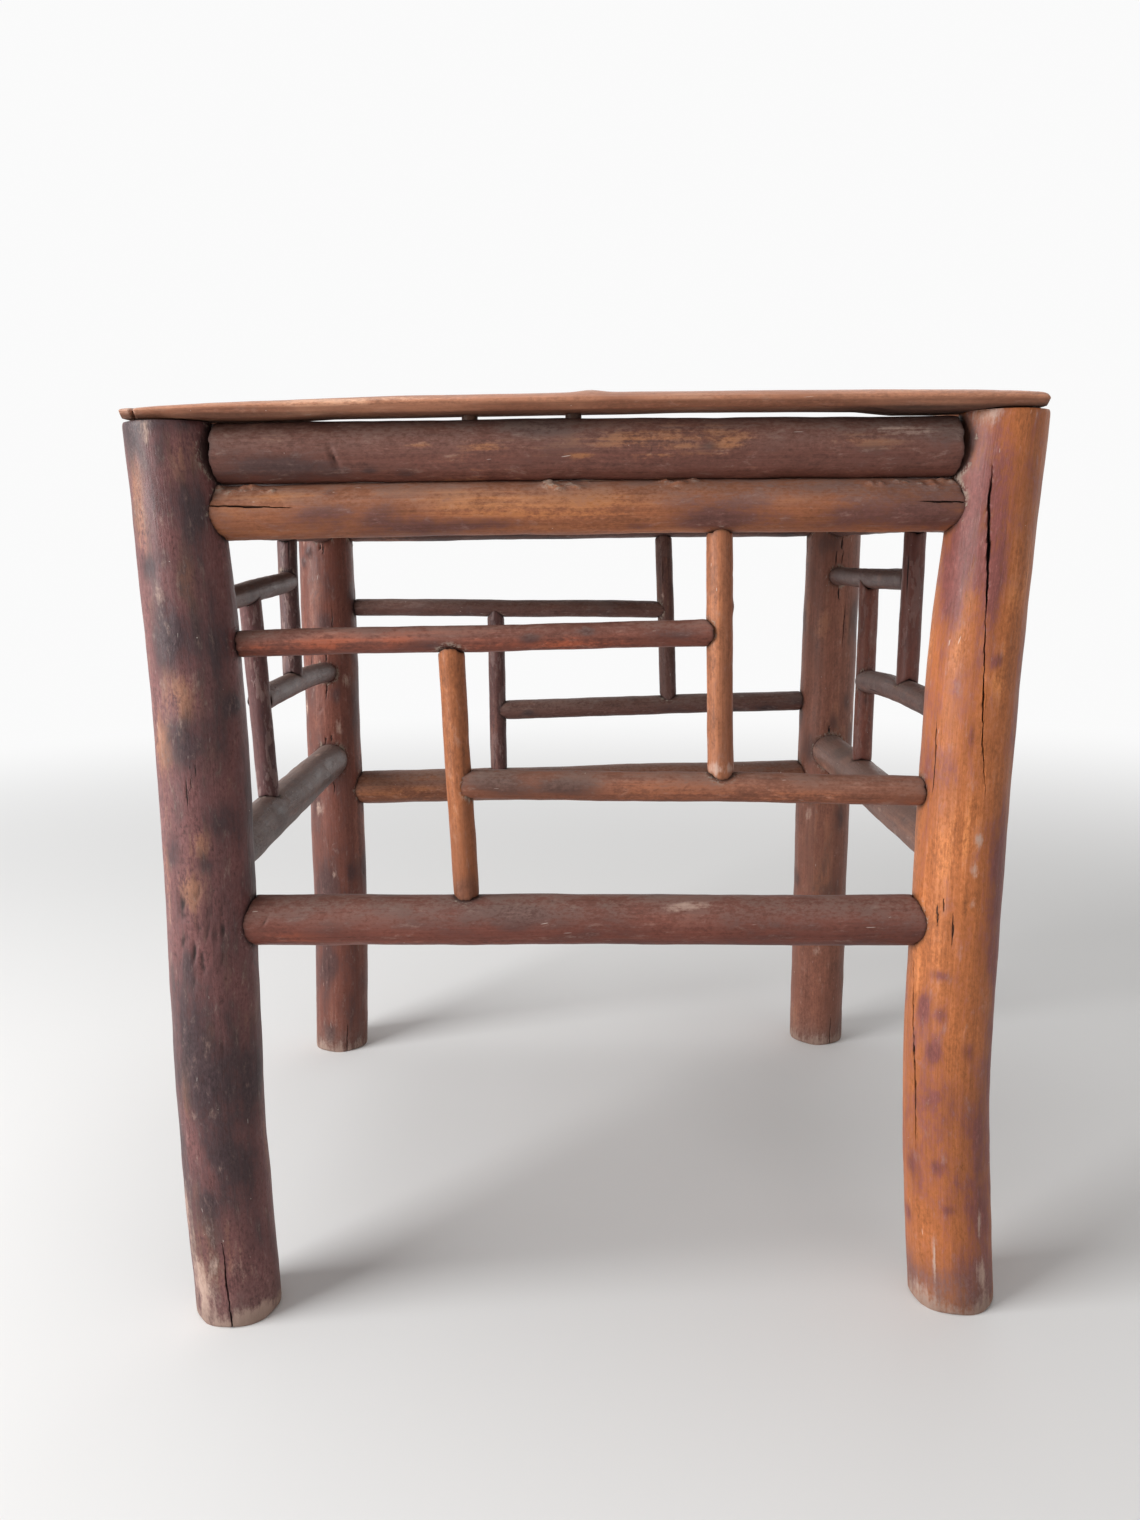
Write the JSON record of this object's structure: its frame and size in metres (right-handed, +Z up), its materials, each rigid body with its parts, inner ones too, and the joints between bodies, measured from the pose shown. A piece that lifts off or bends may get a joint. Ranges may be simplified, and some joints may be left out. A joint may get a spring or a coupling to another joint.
{
  "type": "side table",
  "caption": "Low side table of bent round poles with paired rails, pinwheel lattice sides, a board top let into the rails and a rim of split-pole strips.",
  "frame": {"origin": "on the floor at the middle of the table's outline", "axes": "+Z up, -Y out of the pictured front, +X to the right as seen from the front"},
  "size_m": [0.4562, 0.402, 0.4895],
  "materials": {
    "leg_dark": "dark purple-brown, worn and stained",
    "leg_honey": "honey brown with dark stains, worn",
    "leg_red": "red-brown, worn",
    "upper_rail": "grey-brown, worn",
    "lower_rail": "orange-brown, worn",
    "stretcher": "dark purple-brown, dusty",
    "stick": "red-brown, worn",
    "post": "light orange-brown, worn",
    "board": "brown plank, worn",
    "brace": "brown, unfinished underneath",
    "rim": "pinkish light brown with long grain",
    "peg": "dark end grain"
  },
  "bodies": {
    "root": {"leg_front_left": "leg_dark", "leg_front_right": "leg_honey", "leg_back_left": "leg_red", "leg_back_right": "leg_red", "upper_rail_front": "upper_rail", "upper_rail_back": "upper_rail", "upper_rail_left": "upper_rail", "upper_rail_right": "upper_rail", "lower_rail_front": "lower_rail", "lower_rail_back": "lower_rail", "lower_rail_left": "lower_rail", "lower_rail_right": "lower_rail", "stretcher_front": "stretcher", "stretcher_back": "stretcher", "stretcher_left": "stretcher", "stretcher_right": "stretcher", "high_stick_front": "stick", "high_stick_back": "stick", "high_stick_left": "stick", "high_stick_right": "stick", "low_stick_front": "stick", "low_stick_back": "stick", "low_stick_left": "stick", "low_stick_right": "stick", "standing_post_front": "post", "standing_post_back": "post", "standing_post_left": "post", "standing_post_right": "post", "hanging_post_front": "post", "hanging_post_back": "post", "hanging_post_left": "post", "hanging_post_right": "post", "top_board_1": "board", "top_board_2": "board", "top_board_3": "board", "top_board_4": "board", "board_brace_left": "brace", "board_brace_right": "brace", "rim_strip_front": "rim", "rim_strip_back": "rim", "rim_strip_left": "rim", "rim_strip_right": "rim", "rim_peg_front_1": "peg", "rim_peg_front_2": "peg", "rim_peg_back_1": "peg", "rim_peg_back_2": "peg", "rim_peg_left_1": "peg", "rim_peg_left_2": "peg", "rim_peg_right_1": "peg", "rim_peg_right_2": "peg", "corner_peg_front_left": "peg", "corner_peg_front_right": "peg", "corner_peg_back_left": "peg", "corner_peg_back_right": "peg"}
  },
  "joints": []
}
